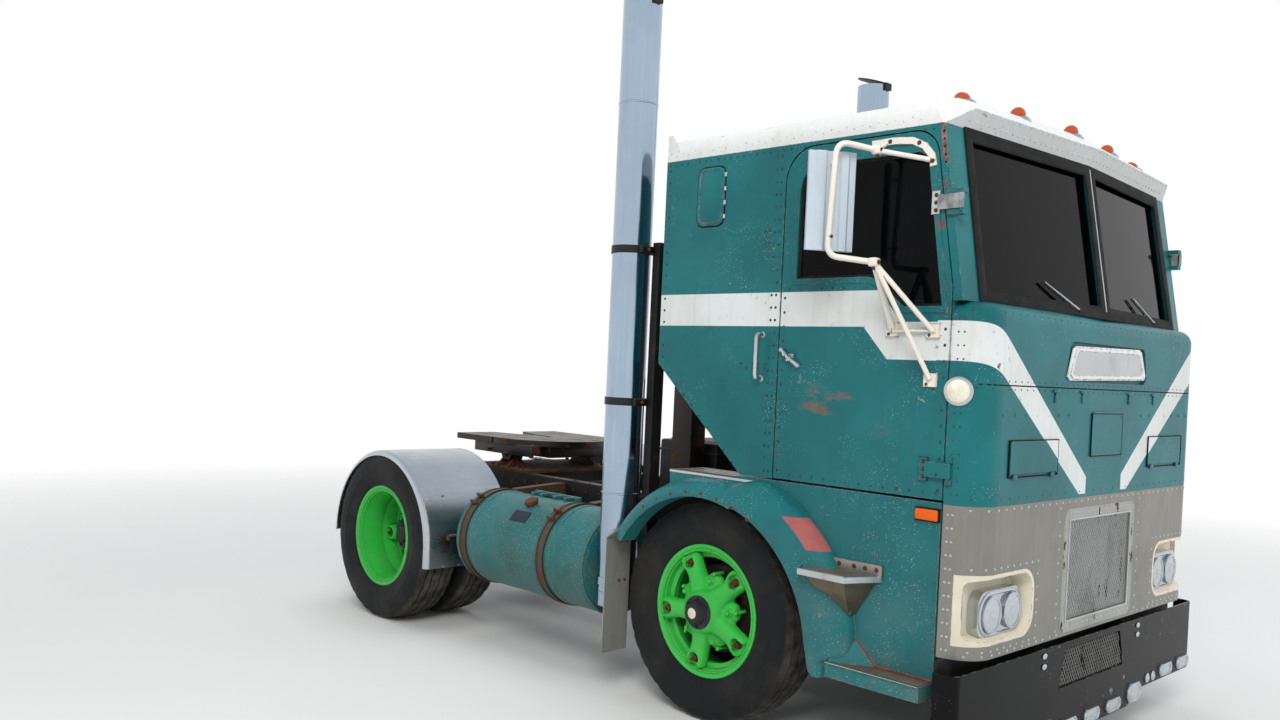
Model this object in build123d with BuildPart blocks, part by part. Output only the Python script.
import os
from math import atan2, cos, degrees, radians, sin, sqrt

from build123d import *

os.makedirs("parts", exist_ok=True)

# Cab-over tractor unit with two axles, in millimetres, +Z up.
# The truck faces -Y, its right side is -X, and the ground is Z = 0.
# Stations are measured along the truck from the front axle, rearward positive.
FRONT_REACH = 1425.0    # front axle to the faces of the bumper lamps
REAR_REACH = 3235.0     # front axle to the rear end of the frame
WHEELBASE = 2630.0

# Cab
CAB_HALF = 1136.0       # half of the cab's width
ROOF_CROWN = 2862.0     # highest line of the roof
CAB_FRONT = 10.0 - FRONT_REACH      # station of the nose's face
CAB_REAR = 352.0        # station of the cab's back
CAB_FLOOR = 1208.0      # underside of the cab at the doors
CAB_BELT = 2000.0       # top of the nose, foot of the windshield
CAB_GUTTER = ROOF_CROWN - 156.0     # where the roof cap starts
CAB_WALL = 40.0         # whole thickness of a wall or a door
CORNER_R = 150.0        # rounding of the nose's vertical corners
NOSE_BACK = CAB_FRONT + 151.0       # station of the seam between the nose and the door
CHAMFER_REAR_Z = 1706.0     # foot of the cab's back
CHAMFER_FRONT = -212.0      # station where the sloped underside meets the floor
NOSE_SKIN = 30.0
NOSE_ROLL_R = 70.0      # rounding of the nose's top edge

# Windshield: two flat panes, a slight V in plan, leaning back
FRAME_FOOT = CAB_FRONT + 109.0      # station of the windshield frame's outer corner at the belt
FRAME_TOP = FRAME_FOOT + 120.0      # station of the same corner at the gutter
FRAME_VEE = 84.0        # how far the frame's middle stands ahead of those corners
PANE_FOOT_HALF = 1000.0
PANE_TOP_HALF = 984.0
GLASS_THICK = 6.0
GLASS_BACK = 20.0       # how far the glass sits behind the frame's face

# Wipers: on the right pane the arm reaches outward, on the left pane toward the middle
WIPER_XS = (-259.0, 676.0)
WIPER_FOOT = 24.0       # height of the pivot above the pane's lower edge
WIPER_ARM = (-232.0, 96.0)      # from the pivot to the tip, across and up the pane

# Roof cap
ROOF_SHOULDER = (CAB_HALF - 96.0, ROOF_CROWN - 36.0)    # half width and height where the rounded side ends
ROOF_LIP = CAB_GUTTER + 16.0        # top of the upright lip along the side
ROOF_BULGE = (CAB_HALF - 29.0, ROOF_CROWN - 67.0)       # middle of the rounded side
ROOF_SKIN = 28.0
BROW_Z = ROOF_CROWN - 87.0          # crease of the brow over the windshield
BROW_CUT = 120.0        # how far the crease stops short of the roof's side
BROW_CUT_RUN = 0.9      # length of that corner's cut along the truck, as a share of its width
BROW_FOOT_CUT = 6.0     # the same cut at the brow's lower edge
BROW_OUT = 58.0         # how far the crease stands ahead of the frame's top
BROW_BACK = 70.0        # how far behind the frame's top the brow reaches the roof

# Stainless skirt under the nose, with the grille and the headlamps
SKIRT_TOP = 1198.0
SKIRT_BOTTOM = 597.0
SKIRT_SKIN = 12.0
GRILLE_HALF = 376.0
GRILLE_BOTTOM = 612.0
GRILLE_TOP = 1152.0
GRILLE_BORDER = 48.0
GRILLE_THICK = 14.0
GRILLE_CORNER = 45.0
LAMP_X = 858.0          # centre of a headlamp pair
LAMP_Z = 762.0
LAMP_PITCH = 168.0      # between the two lamps of a pair
LAMP_R = 73.0
LAMP_POCKET_W = 440.0
LAMP_POCKET_H = 300.0
LAMP_POCKET_DEPTH = 92.0

# Doors
DOOR_REAR = -410.0
DOOR_FRONT = NOSE_BACK + 8.0
DOOR_BOTTOM = CAB_FLOOR + 4.0
DOOR_TOP = CAB_GUTTER - 22.0
DOOR_SLANT_Z = CAB_BELT + 50.0      # above this the front edge leans back
DOOR_SLANT_TOP = DOOR_FRONT + 106.0     # station of the front edge near the top
DOOR_GAP = 6.0
DOOR_REAR_GAP = 8.0
DOOR_REAR_R = 150.0         # rounding of the top rear corner
DOOR_FRONT_R = 110.0        # rounding of the top front corner
WINDOW_REAR = -490.0
WINDOW_TOP = DOOR_TOP - 84.0
WINDOW_SILL = CAB_BELT + 104.0
WINDOW_DIP = CAB_BELT - 22.0        # lower sill at the front part of the window
WINDOW_STEP_REAR = -885.0
WINDOW_STEP_FRONT = -1040.0
WINDOW_FRONT = DOOR_FRONT + 40.0
WINDOW_FRONT_TOP = WINDOW_FRONT + 94.0
WINDOW_REAR_R = 110.0
WINDOW_FRONT_R = 60.0
HINGE_Y = NOSE_BACK - 21.0          # station of the door's hinge axis
HINGE_OUT = 14.0            # hinge axis outboard of the skin
HINGE_PIN_R = 5.0
HINGE_R = 10.0
HINGE_ZS = (DOOR_TOP - 296.0, DOOR_BOTTOM + 118.0)
PIN_GAP = 0.3
MIRROR_X = CAB_HALF + 164.0     # the tube loop's upright, and the mirror's place
MIRROR_TOP = WINDOW_TOP + 40.0
MIRROR_LOW = WINDOW_SILL + 82.0
MIRROR_TUBE_R = 12.5
MIRROR_WIDE = 200.0
MIRROR_HIGH = 420.0

# Tilting of the cab
TILT_Y = CAB_FRONT + 40.0
TILT_Z = 615.0
TILT_PIN_R = 10.0
TILT_EYE_R = 20.0
TILT_ARM_X = 380.0
TILT_ARM_T = 36.0

# Frame
RAIL_X = 432.0              # outer face of a rail
RAIL_TOP = 930.0
RAIL_DEPTH = 250.0
RAIL_FLANGE = 80.0
RAIL_THICK = 8.0
RAIL_FRONT = CAB_FRONT + 125.0
RAIL_BOTTOM = RAIL_TOP - RAIL_DEPTH

# Bumper
BUMPER_HALF = 1243.0
BUMPER_FACE = 15.0 - FRONT_REACH
BUMPER_TOP = 564.0
BUMPER_END_BOTTOM = 213.0
BUMPER_MID_BOTTOM = 148.0
BUMPER_SLANT_OUT = 610.0
BUMPER_SLANT_IN = 410.0
BUMPER_THICK = 8.0
BUMPER_RETURN = 95.0
BUMPER_CORNER_R = 45.0
BUMPER_SLOT_TOP = 536.0
BUMPER_SLOT_BOTTOM = 366.0
BUMPER_SLOT_HALF_TOP = 290.0
BUMPER_SLOT_HALF_BOTTOM = 345.0

# Wheels
TYRE_R = 525.0
TYRE_W = 280.0
RIM_R = 317.0               # radius of a rim's flange
RIM_BASE_R = 292.0
RIM_W = 228.0
RIM_THICK = 10.0
FRONT_WHEEL_X = 985.0
REAR_OUTER_X = 1192.0
REAR_INNER_X = 849.0
AXLE_Z = 525.0
DRUM_R = 212.0
HUB_R = 88.0
SPINDLE_R = 35.0
SPOKES = 5
KINGPIN_X = 860.0
KINGPIN_R = 18.0

# Fifth wheel
FIFTH_Y = WHEELBASE - 70.0
FIFTH_TOP = 1150.0
FIFTH_R = 455.0
FIFTH_THICK = 40.0
KINGPIN_BORE_R = 26.0

AXLE_Y = (FRONT_REACH - REAR_REACH) / 2


def st(station):
    """Row Y of a station measured from the front axle."""
    return AXLE_Y + station


def across(station):
    """Upright plane across the truck at a station, local X = row X, local Y = row Z, facing forward."""
    return Plane.XZ.offset(-st(station))


def save(piece, name):
    piece.part.label = name
    export_step(piece.part, f"parts/{name}.step")


def both_sides():
    """Adds the mirror image of what the current part holds."""
    mirror(about=Plane.YZ)


# Frame rails
with BuildPart() as frame_rails:
    with BuildSketch(across(RAIL_FRONT)):
        with Locations((RAIL_X - RAIL_FLANGE / 2, RAIL_TOP - RAIL_DEPTH / 2)):
            Rectangle(RAIL_FLANGE, RAIL_DEPTH)
        with Locations((RAIL_X - RAIL_THICK - RAIL_FLANGE / 2, RAIL_TOP - RAIL_DEPTH / 2)):
            Rectangle(RAIL_FLANGE, RAIL_DEPTH - 2 * RAIL_THICK, mode=Mode.SUBTRACT)
    extrude(amount=-(REAR_REACH - RAIL_FRONT))
    both_sides()
save(frame_rails, "frame_rails")

# Cross members between the rails, and the engine's mounts
CROSS_HALF = RAIL_X - RAIL_THICK
ENGINE_HALF = 320.0
with BuildPart() as cross_members:
    # station, height of the centre, length along the truck, depth
    for station, z, long, deep in (
        (RAIL_FRONT + 40, 800.0, 60.0, 200.0),
        (WHEELBASE - 1850, 884.0, 90.0, 72.0),
        (WHEELBASE - 1130, 800.0, 90.0, 120.0),
        (WHEELBASE - 430, 800.0, 70.0, 120.0),
        (REAR_REACH - 40, 805.0, 60.0, 220.0),
    ):
        with Locations((0, st(station), z)):
            Box(2 * CROSS_HALF, long, deep)
    for side in (-1, 1):
        for station in (-760.0, 120.0):
            with Locations((side * (CROSS_HALF + ENGINE_HALF) / 2, st(station), 770)):
                Box(CROSS_HALF - ENGINE_HALF, 80, 60)
save(cross_members, "cross_members")

# Brackets at the rails' front ends: the pin that the cab tilts on, and the plates that carry the bumper
BRACKET_T = 12.0
with BuildPart() as front_brackets:
    with BuildSketch(Plane.YZ.offset(RAIL_X)):
        with BuildLine():
            Polyline(
                (st(BUMPER_FACE + BUMPER_THICK), 300),
                (st(BUMPER_FACE + BUMPER_THICK), BUMPER_TOP - 12),
                (st(TILT_Y + TILT_EYE_R), BUMPER_TOP - 12),
                (st(TILT_Y + TILT_EYE_R), TILT_Z),
                (st(RAIL_FRONT), 720),
                (st(RAIL_FRONT + 160), 720),
                (st(RAIL_FRONT + 160), RAIL_BOTTOM),
                (st(RAIL_FRONT), 480),
                (st(RAIL_FRONT), 300),
                close=True,
            )
        make_face()
        with Locations((st(TILT_Y), TILT_Z)):
            Circle(TILT_EYE_R)
    extrude(amount=BRACKET_T)
    with BuildSketch(Plane.YZ.offset(RAIL_X)):
        with BuildLine():
            Polyline(
                (st(TILT_Y), TILT_Z - TILT_EYE_R),
                (st(TILT_Y), TILT_Z + TILT_EYE_R),
                (st(RAIL_FRONT), 720),
                (st(TILT_Y + TILT_EYE_R), TILT_Z - TILT_EYE_R),
                close=True,
            )
        make_face()
    extrude(amount=BRACKET_T)
    with BuildSketch(Plane.YZ.offset(TILT_ARM_X - TILT_ARM_T / 2 - 10)):
        with Locations((st(TILT_Y), TILT_Z)):
            Circle(TILT_PIN_R)
    extrude(amount=RAIL_X + BRACKET_T - (TILT_ARM_X - TILT_ARM_T / 2 - 10))
    both_sides()
save(front_brackets, "front_brackets")

# Bumper: a bent plate with a raised lower edge at its ends and a slot in its middle
with BuildPart() as front_bumper:
    with BuildSketch(Plane.XY.offset(BUMPER_MID_BOTTOM)):
        with BuildLine():
            FilletPolyline(
                (-BUMPER_HALF, st(BUMPER_FACE + BUMPER_RETURN)),
                (-BUMPER_HALF, st(BUMPER_FACE)),
                (BUMPER_HALF, st(BUMPER_FACE)),
                (BUMPER_HALF, st(BUMPER_FACE + BUMPER_RETURN)),
                radius=BUMPER_CORNER_R,
            )
            offset(amount=BUMPER_THICK, side=Side.LEFT)
        make_face()
    extrude(amount=BUMPER_TOP - BUMPER_MID_BOTTOM)
    with BuildSketch(across(BUMPER_FACE - 10)):
        for side in (-1, 1):
            with BuildLine():
                Polyline(
                    (side * BUMPER_SLANT_IN, BUMPER_MID_BOTTOM - 5),
                    (side * BUMPER_SLANT_IN, BUMPER_MID_BOTTOM),
                    (side * BUMPER_SLANT_OUT, BUMPER_END_BOTTOM),
                    (side * (BUMPER_HALF + 5), BUMPER_END_BOTTOM),
                    (side * (BUMPER_HALF + 5), BUMPER_MID_BOTTOM - 5),
                    close=True,
                )
            make_face()
        with BuildLine():
            Polyline(
                (-BUMPER_SLOT_HALF_BOTTOM, BUMPER_SLOT_BOTTOM),
                (BUMPER_SLOT_HALF_BOTTOM, BUMPER_SLOT_BOTTOM),
                (BUMPER_SLOT_HALF_TOP, BUMPER_SLOT_TOP),
                (-BUMPER_SLOT_HALF_TOP, BUMPER_SLOT_TOP),
                close=True,
            )
        make_face()
    extrude(amount=-(BUMPER_RETURN + 30), mode=Mode.SUBTRACT)
save(front_bumper, "front_bumper")

# Mesh behind the bumper's slot
with BuildPart() as bumper_mesh:
    with BuildSketch(across(BUMPER_FACE + BUMPER_THICK)):
        with BuildLine():
            Polyline((-BUMPER_SLOT_HALF_BOTTOM - 15, BUMPER_SLOT_BOTTOM - 15),
                     (BUMPER_SLOT_HALF_BOTTOM + 15, BUMPER_SLOT_BOTTOM - 15),
                     (BUMPER_SLOT_HALF_TOP + 15, BUMPER_SLOT_TOP + 15), (-BUMPER_SLOT_HALF_TOP - 15, BUMPER_SLOT_TOP + 15),
                     close=True)
        make_face()
    extrude(amount=-4)
save(bumper_mesh, "bumper_mesh")

# Lamps on the bumper's lower edge
BUMPER_LAMP_FACE = -FRONT_REACH
with BuildPart() as bumper_lamps:
    # x, z, width, height, slant in degrees
    for x, z, wide, high, slant in (
        (1118.0, 258.0, 150.0, 62.0, 0.0),
        (885.0, 258.0, 150.0, 62.0, 0.0),
        (485.0, 208.0, 150.0, 62.0, 18.0),
        (240.0, 192.0, 150.0, 62.0, 0.0),
    ):
        for side in (-1, 1):
            with BuildSketch(across(BUMPER_LAMP_FACE)):
                with Locations(Location((side * x, z), side * slant)):
                    RectangleRounded(wide, high, 20)
            extrude(amount=-(BUMPER_FACE - BUMPER_LAMP_FACE))
    with BuildSketch(across(BUMPER_LAMP_FACE)):
        with Locations((0, 192.0)):
            RectangleRounded(150.0, 62.0, 20)
    extrude(amount=-(BUMPER_FACE - BUMPER_LAMP_FACE))
    with BuildSketch(across(BUMPER_LAMP_FACE)):
        with Locations(*[(side * x, 248.0) for side in (-1, 1) for x in (650.0, 722.0)]):
            Circle(24)
    extrude(amount=-(BUMPER_FACE - BUMPER_LAMP_FACE))
save(bumper_lamps, "bumper_lamps")

# Radiator behind the grille, engine and gearbox with the driveshaft
with BuildPart() as radiator:
    with Locations((0, st(CAB_FRONT + 240), 850)):
        Box(640, 90, 560)
save(radiator, "radiator")

with BuildPart() as engine_block:
    with Locations((0, st(-330), 845)):
        Box(640, 1240, 560)
save(engine_block, "engine_block")

# Axles
BEAM_Z = 440.0
with BuildPart() as front_axle:
    with Locations((0, AXLE_Y, BEAM_Z)):
        Box(2 * (KINGPIN_X - 60), 90, 90)
    for side in (-1, 1):
        with Locations((side * (KINGPIN_X - 90), AXLE_Y, 485)):
            Box(60, 90, 180)
        with Locations((side * (KINGPIN_X - 55), AXLE_Y, AXLE_Z)):
            Box(60, 70, 100)
        with Locations((side * KINGPIN_X, AXLE_Y, AXLE_Z)):
            Cylinder(46, 120)
        with Locations((side * KINGPIN_X, AXLE_Y, AXLE_Z)):
            Cylinder(KINGPIN_R, 260)
save(front_axle, "front_axle")

AXLE_TUBE_R = 75.0
SHAFT_Z1 = 560.0
with BuildPart() as rear_axle:
    with Locations(Location((0, st(WHEELBASE), AXLE_Z), (0, 90, 0))):
        Cylinder(AXLE_TUBE_R, 2 * 700)
        Cylinder(50, 2 * 990)
        Cylinder(150, 2 * 190)
        Cylinder(205, 2 * 95)
    with BuildSketch(across(WHEELBASE - 270)):
        with Locations((0, SHAFT_Z1)):
            Circle(75)
    extrude(amount=-210)
save(rear_axle, "rear_axle")

GEARBOX_END = 760.0
SHAFT_Z0 = 800.0
SHAFT_END = 2370.0
with BuildPart() as driveshaft:
    with BuildSketch(across(290)):
        with Locations((0, SHAFT_Z0)):
            Circle(170)
    with BuildSketch(across(GEARBOX_END - 60)):
        with Locations((0, SHAFT_Z0)):
            Circle(120)
    loft()
    slope = Vector(0, SHAFT_END - GEARBOX_END + 100, SHAFT_Z1 - SHAFT_Z0)
    start = Vector(0, st(GEARBOX_END - 100), SHAFT_Z0)
    with BuildSketch(Plane(origin=start, z_dir=slope)):
        Circle(50)
    extrude(amount=slope.length)
    add(rear_axle.part, mode=Mode.SUBTRACT)
save(driveshaft, "driveshaft")

# Leaf springs, as stacked arcs under the rails
with BuildPart() as leaf_springs:
    # axle station, half length, height of the lowest leaf at the axle, rise at the ends
    for axle, half, z0, rise in ((0.0, 560.0, 485.0, 105.0), (WHEELBASE, 540.0, 600.0, 30.0)):
        for leaf in range(4):
            share = (1.0 - 0.22 * leaf)
            span = half * share
            base = z0 + 12.0 * (3 - leaf)
            lift = rise * share * share
            with BuildSketch(Plane.YZ.offset(RAIL_X - RAIL_FLANGE)):
                with BuildLine():
                    low = ThreePointArc((st(axle - span), base + lift), (st(axle), base), (st(axle + span), base + lift))
                    high = ThreePointArc(
                        (st(axle - span), base + lift + 12), (st(axle), base + 12), (st(axle + span), base + lift + 12)
                    )
                    Line(low @ 0, high @ 0)
                    Line(low @ 1, high @ 1)
                make_face()
            extrude(amount=75)
    # hangers at the springs' ends
    for axle, half, z in ((0.0, 545.0, 622.0), (WHEELBASE, 525.0, 660.0)):
        for end in (-1, 1):
            with Locations((RAIL_X - RAIL_FLANGE + 37.5, st(axle + end * half), (z + RAIL_BOTTOM) / 2)):
                Box(75, 50, RAIL_BOTTOM - z)
    both_sides()
save(leaf_springs, "leaf_springs")


def turned(points, at_y):
    """Turns a closed outline of (x, radius) points about an axle at station at_y."""
    with BuildSketch(across(at_y)) as outline:
        with BuildLine():
            Polyline(*[(x, AXLE_Z + r) for x, r in points], close=True)
        make_face()
    revolve(outline.sketch, axis=Axis((0, st(at_y), AXLE_Z), (1, 0, 0)))


def rim_points(centre):
    """Half section of a rim, from its inner flange to its outer one."""
    half = RIM_W / 2
    t = RIM_THICK
    return [
        (centre - half, RIM_R), (centre - half, RIM_R - 3 * t), (centre - half + 25, RIM_BASE_R - t),
        (centre + half - 25, RIM_BASE_R - t), (centre + half, RIM_R - 3 * t), (centre + half, RIM_R),
        (centre + half - t, RIM_R), (centre + half - t, RIM_BASE_R), (centre - half + t, RIM_BASE_R),
        (centre - half + t, RIM_R),
    ]


def tyre_points(centre):
    """Half section of a tyre, seated on the rim's base between its flanges."""
    half = TYRE_W / 2
    seat = RIM_W / 2 - RIM_THICK
    return [
        (centre - seat, RIM_BASE_R), (centre - seat, RIM_R + 2), (centre - half, RIM_R + 70),
        (centre - half, TYRE_R - 75), (centre - half + 28, TYRE_R - 8), (centre - half + 60, TYRE_R),
        (centre + half - 60, TYRE_R), (centre + half - 28, TYRE_R - 8), (centre + half, TYRE_R - 75),
        (centre + half, RIM_R + 70), (centre + seat, RIM_R + 2), (centre + seat, RIM_BASE_R),
    ]


def spokes(side, inner_x, outer_x, at_y):
    """Cast spokes from the hub to the rim."""
    for number in range(SPOKES):
        angle = 90.0 + number * 360.0 / SPOKES
        plane = Plane(origin=(side * inner_x, st(at_y), AXLE_Z), x_dir=(0, cos(radians(angle)), sin(radians(angle))),
                      z_dir=(side, 0, 0))
        with BuildSketch(plane) as spoke:
            with BuildLine():
                Polyline((HUB_R - 20, -52), (RIM_BASE_R - RIM_THICK - 2, -40), (RIM_BASE_R - RIM_THICK - 2, 40),
                         (HUB_R - 20, 52), close=True)
            make_face()
        extrude(spoke.sketch, amount=outer_x - inner_x)


for side, name in ((1, "left"), (-1, "right")):
    # Front wheel: rim, cast spoke hub and brake drum in one, turning on the knuckle's spindle
    with BuildPart() as front_wheel:
        turned([(side * x, r) for x, r in rim_points(FRONT_WHEEL_X)], 0)
        turned([(side * x, r) for x, r in (
            (865, DRUM_R), (865, DRUM_R - 12), (988, DRUM_R - 12), (988, HUB_R), (952, HUB_R - 8),
            (952, SPINDLE_R + PIN_GAP), (1060, SPINDLE_R + PIN_GAP), (1060, 0), (1122, 0), (1122, 46),
            (1098, 60), (1098, HUB_R), (1000, HUB_R + 20), (1000, DRUM_R))], 0)
        spokes(side, 1000, 1050, 0)
        # the ring behind the spoke tips carries the rim
        turned([(side * x, r) for x, r in (
            (985, RIM_BASE_R - RIM_THICK), (985, RIM_BASE_R - 40), (1000, RIM_BASE_R - 40),
            (1000, RIM_BASE_R - RIM_THICK))], 0)
    save(front_wheel, f"front_wheel_{name}")

    with BuildPart() as front_tyre:
        turned([(side * x, r) for x, r in tyre_points(FRONT_WHEEL_X)], 0)
    save(front_tyre, f"front_tyre_{name}")

    # Knuckle: kingpin bosses, backing plate and spindle
    with BuildPart() as knuckle:
        for z in (AXLE_Z + 90, AXLE_Z - 90):
            with Locations((side * (KINGPIN_X + 36), AXLE_Y, z)):
                Box(60, 76, 50)
            with Locations((side * KINGPIN_X, AXLE_Y, z)):
                Cylinder(44, 50)
                Cylinder(KINGPIN_R + PIN_GAP, 60, mode=Mode.SUBTRACT)
        with Locations((side * (KINGPIN_X + 64), AXLE_Y, AXLE_Z)):
            Box(22, 100, 230)
        with Locations(Location((side * (KINGPIN_X + 78), AXLE_Y, AXLE_Z), (0, 90, 0))):
            Cylinder(180, 10)
        with Locations(Location((side * (KINGPIN_X + 132), AXLE_Y, AXLE_Z), (0, 90, 0))):
            Cylinder(SPINDLE_R, 118)
    save(knuckle, f"knuckle_{name}")

    # Twin rear wheels: two rims on one cast spoke hub with its drum
    with BuildPart() as rear_wheel:
        for centre in (REAR_OUTER_X, REAR_INNER_X):
            turned([(side * x, r) for x, r in rim_points(centre)], WHEELBASE)
        turned([(side * x, r) for x, r in (
            (725, DRUM_R), (725, DRUM_R - 12), (1000, DRUM_R - 12), (1000, HUB_R + 10), (800, HUB_R),
            (800, 50 + PIN_GAP), (1010, 50 + PIN_GAP), (1010, 0), (1150, 0), (1150, 70),
            (1060, HUB_R), (1030, HUB_R + 20), (1030, DRUM_R))], WHEELBASE)
        spokes(side, 1010, 1050, WHEELBASE)
        for x0, x1 in ((1050, 1075), (955, 1010)):
            turned([(side * x, r) for x, r in (
                (x0, RIM_BASE_R - RIM_THICK), (x0, RIM_BASE_R - 42), (x1, RIM_BASE_R - 42),
                (x1, RIM_BASE_R - RIM_THICK))], WHEELBASE)
        turned([(side * x, r) for x, r in (
            (REAR_INNER_X + 80, RIM_BASE_R - RIM_THICK), (REAR_INNER_X + 80, RIM_BASE_R - 2 * RIM_THICK),
            (REAR_OUTER_X - 80, RIM_BASE_R - 2 * RIM_THICK), (REAR_OUTER_X - 80, RIM_BASE_R - RIM_THICK))], WHEELBASE)
    save(rear_wheel, f"rear_wheel_{name}")

    with BuildPart() as rear_tyres:
        for centre in (REAR_OUTER_X, REAR_INNER_X):
            turned([(side * x, r) for x, r in tyre_points(centre)], WHEELBASE)
    save(rear_tyres, f"rear_tyres_{name}")

# Fuel tanks with their straps and brackets
TANK_X = 911.0
TANK_Z = 606.0
TANK_R = 280.0
TANK_FRONT = 800.0
TANK_REAR = WHEELBASE - TYRE_R - 155.0
STRAP_W = 60.0
STRAP_T = 6.0
STRAPS = (TANK_FRONT + 350.0, TANK_REAR - 70.0)
with BuildPart() as fuel_tanks:
    with BuildSketch(across(TANK_FRONT)):
        with Locations((TANK_X, TANK_Z)):
            Circle(TANK_R)
    extrude(amount=-(TANK_REAR - TANK_FRONT))
    fillet(fuel_tanks.edges().filter_by(GeomType.CIRCLE), radius=30)
    both_sides()
save(fuel_tanks, "fuel_tanks")

with BuildPart() as tank_straps:
    for station in STRAPS:
        with BuildSketch(across(station - STRAP_W / 2)):
            with Locations((TANK_X, TANK_Z)):
                Circle(TANK_R + STRAP_T)
                Circle(TANK_R, mode=Mode.SUBTRACT)
        extrude(amount=-STRAP_W)
        with BuildSketch(across(station - STRAP_W / 2)):
            with BuildLine():
                Polyline((RAIL_X, RAIL_BOTTOM + 10), (RAIL_X, RAIL_TOP - 20), (RAIL_X + 60, RAIL_TOP - 20),
                         (TANK_X - 90, TANK_Z + TANK_R + 4), (TANK_X, TANK_Z), (TANK_X - 90, TANK_Z - TANK_R - 4),
                         (RAIL_X + 60, RAIL_BOTTOM - 30), close=True)
            make_face()
            with Locations((TANK_X, TANK_Z)):
                Circle(TANK_R, mode=Mode.SUBTRACT)
        extrude(amount=-STRAP_W)
    both_sides()
save(tank_straps, "tank_straps")

# Exhaust stacks with rain caps, and the posts that hold them
STACK_X = 1062.0
STACK_Y = 660.0
STACK_R = 103.0
STACK_TOP = 3600.0
STACK_BOTTOM = 430.0
STACK_WALL = 3.0
with BuildPart() as exhaust_stacks:
    with BuildSketch(Plane.XY.offset(STACK_BOTTOM)):
        with Locations((STACK_X, st(STACK_Y))):
            Circle(STACK_R)
            Circle(STACK_R - STACK_WALL, mode=Mode.SUBTRACT)
    extrude(amount=STACK_TOP - STACK_BOTTOM)
    with BuildSketch(Plane.XY.offset(STACK_BOTTOM)):
        with Locations((STACK_X, st(STACK_Y))):
            Circle(STACK_R)
    extrude(amount=10)
    with Locations((STACK_X, st(STACK_Y), 560)):
        Cylinder(STACK_R + 6, 40)
        Cylinder(STACK_R - STACK_WALL, 40, mode=Mode.SUBTRACT)
    both_sides()
save(exhaust_stacks, "exhaust_stacks")

CAP_TILT = 15.0
with BuildPart() as rain_caps:
    cap_plane = Plane(origin=(STACK_X, st(STACK_Y) - STACK_R, STACK_TOP + 4), x_dir=(1, 0, 0),
                      z_dir=(0, -sin(radians(CAP_TILT)), cos(radians(CAP_TILT))))
    with BuildSketch(cap_plane):
        with Locations((0, STACK_R)):
            Circle(STACK_R + 8)
    extrude(amount=5)
    with Locations((STACK_X, st(STACK_Y) - STACK_R - 8, STACK_TOP - 14)):
        Box(60, 16, 44)
    both_sides()
save(rain_caps, "rain_caps")

POST_Y = 520.0
with BuildPart() as stack_posts:
    with Locations((985, st(POST_Y), 1610)):
        Box(70, 50, 1440)
    with Locations(((RAIL_X + 1020) / 2, st(POST_Y), 860)):
        Box(1020 - RAIL_X, 50, 80)
    for z in (1500, 2290):
        with Locations((STACK_X, st(STACK_Y), z)):
            Cylinder(STACK_R + 5, 40)
        with Locations((1000, st(560), z)):
            Box(40, 60, 40)
        with Locations((STACK_X, st(STACK_Y), z)):
            Cylinder(STACK_R, 60, mode=Mode.SUBTRACT)
    both_sides()
save(stack_posts, "stack_posts")

# Front fenders: a bulged arch with its liner over the wheel
ARCH_Y = -50.0
ARCH_Z = 490.0
ARCH_R = 597.0
FENDER_OUT = 1245.0
FENDER_IN = CAB_HALF
LINER_IN = 640.0
LINER_R = 640.0
LINER_Y = -30.0
LINER_Z = 500.0
FENDER_TIP = (498.0, 862.0)
FENDER_REAR = (170.0, 1137.0)
BULGE_FOOT = (-205.0, 1076.0)
BULGE_TOP = (-225.0, 1165.0)
FENDER_CREST = (-395.0, 1194.0)
FENDER_BREAK = (-745.0, 941.0)
FENDER_LOW = (-886.0, 620.0)
FENDER_HEEL = (-892.0, 492.0)
FENDER_TOE = (-801.0, 414.0)
LIP_BEND = (-682.0, 633.0)
LIP_FOOT = (-721.0, 454.0)


FENDER_ROLL = 98.0      # rounding between the outer face and the top
ROLL_R = 680.0          # outer radius of the roll over the wheel
DECK = (-340.0, 230.0)  # stations of the step box behind the door
DECK_IN = 900.0
DECK_TOP = 1188.0


def on_side(point):
    return (st(point[0]), point[1])


def fender_back():
    """Outer line of a front fender, from its rear tip over the crest to its toe."""
    ThreePointArc(on_side(FENDER_TIP), (st(350), 1020), on_side(FENDER_REAR))
    Polyline(on_side(FENDER_REAR), (st(-20), 1160), on_side(FENDER_CREST))
    ThreePointArc(on_side(FENDER_CREST), (st(-590), 1086), on_side(FENDER_BREAK))
    ThreePointArc(on_side(FENDER_BREAK), (st(-838), 795), on_side(FENDER_LOW))
    Polyline(on_side(FENDER_LOW), on_side(FENDER_HEEL), on_side(FENDER_TOE))


def arch_point(angle, radius=ARCH_R):
    """Point (Y, Z) about the arch's centre, 0 pointing rearward and 90 up."""
    return (st(ARCH_Y) + radius * cos(radians(angle)), ARCH_Z + radius * sin(radians(angle)))


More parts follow.
